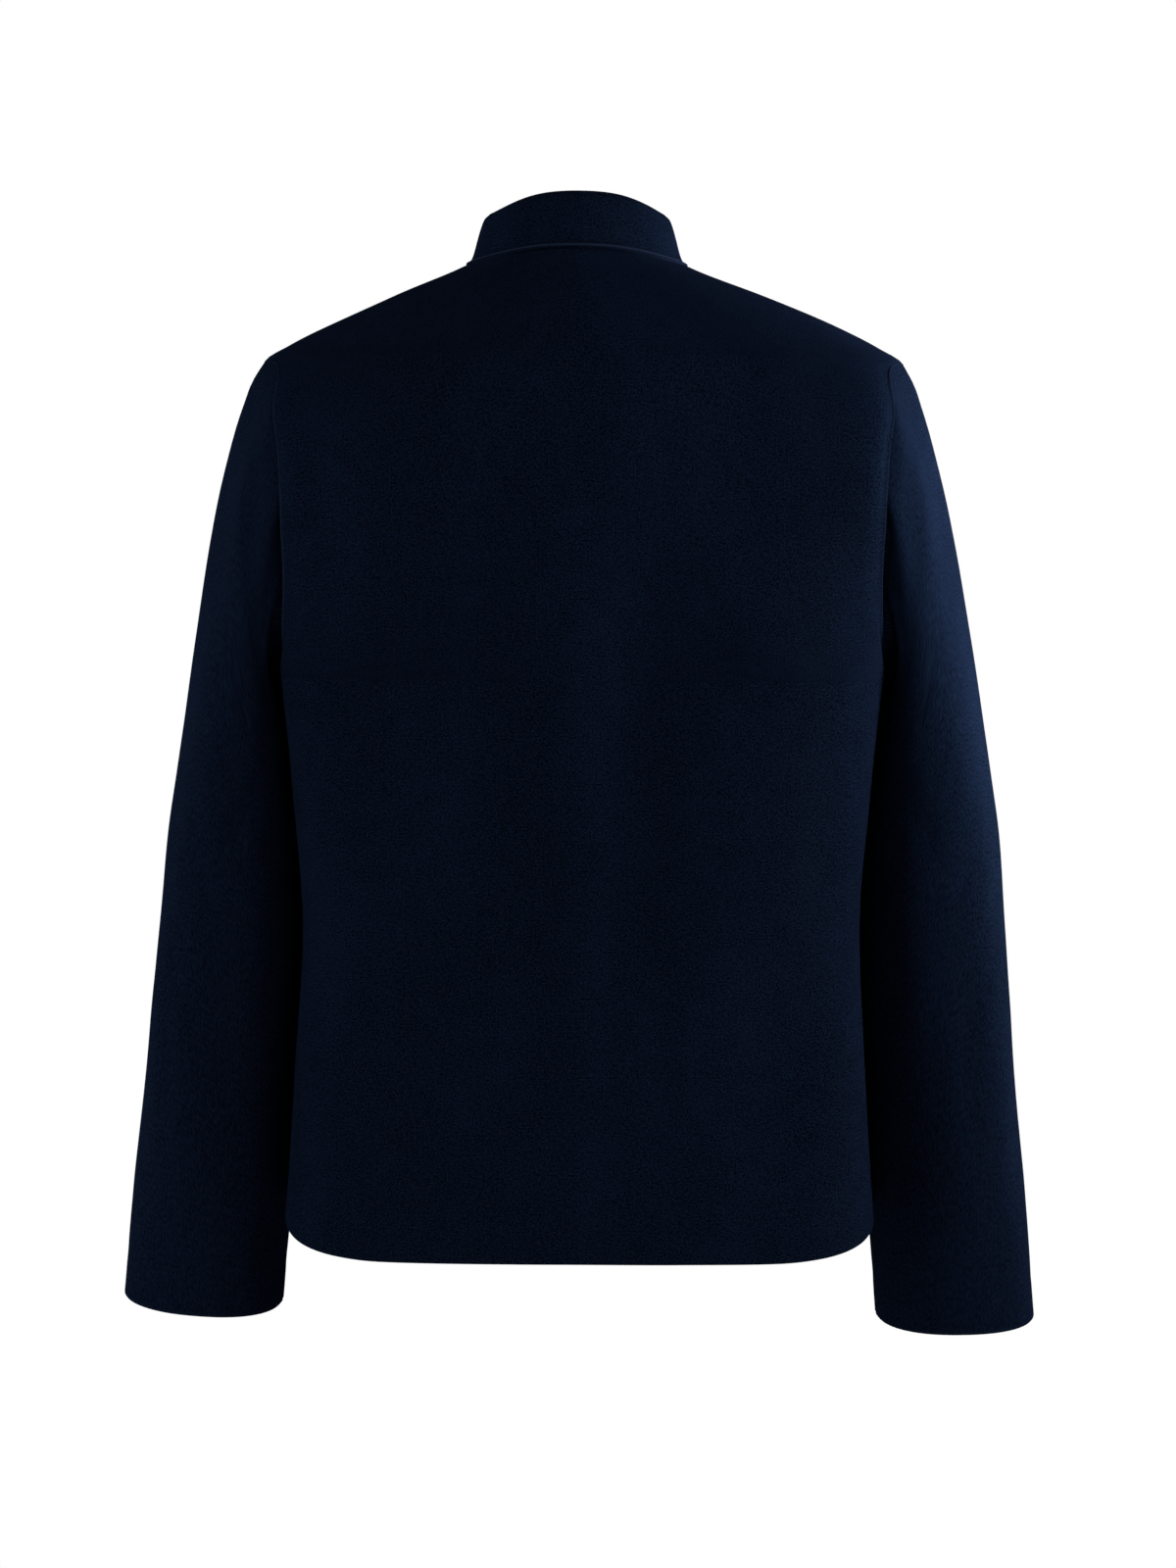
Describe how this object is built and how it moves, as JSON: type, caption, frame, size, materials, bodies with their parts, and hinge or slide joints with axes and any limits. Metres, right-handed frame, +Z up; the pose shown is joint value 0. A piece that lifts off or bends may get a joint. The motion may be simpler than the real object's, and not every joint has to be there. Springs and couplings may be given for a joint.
{
  "type": "chinese jacket",
  "caption": "Dark navy wool jacket with a stand collar, set-in sleeves and knot-and-loop front fastenings, kept in its hollow worn form and open at neck, hem and cuffs.",
  "frame": {"origin": "middle of the neck base, level with the points where the shoulder seams meet the collar", "axes": "+Z up the wearer's neck, -Y out of the jacket's front, +X to the wearer's left"},
  "size_m": [0.653, 0.2466, 0.7911],
  "materials": {
    "jacket_cloth": "soft napped wool, matt with a faint sheen at grazing angles",
    "fastening_cord": "the jacket's own wool, rolled into a cord"
  },
  "bodies": {
    "root": {"back": "jacket_cloth", "front_left": "jacket_cloth", "front_right": "jacket_cloth", "sleeve_left": "jacket_cloth", "sleeve_right": "jacket_cloth", "collar": "jacket_cloth", "loop_1": "fastening_cord", "loop_2": "fastening_cord", "loop_3": "fastening_cord", "loop_4": "fastening_cord", "loop_5": "fastening_cord", "tail_1": "fastening_cord", "tail_2": "fastening_cord", "tail_3": "fastening_cord", "tail_4": "fastening_cord", "tail_5": "fastening_cord", "knot_1": "fastening_cord", "knot_2": "fastening_cord", "knot_3": "fastening_cord", "knot_4": "fastening_cord", "knot_5": "fastening_cord"}
  },
  "joints": []
}
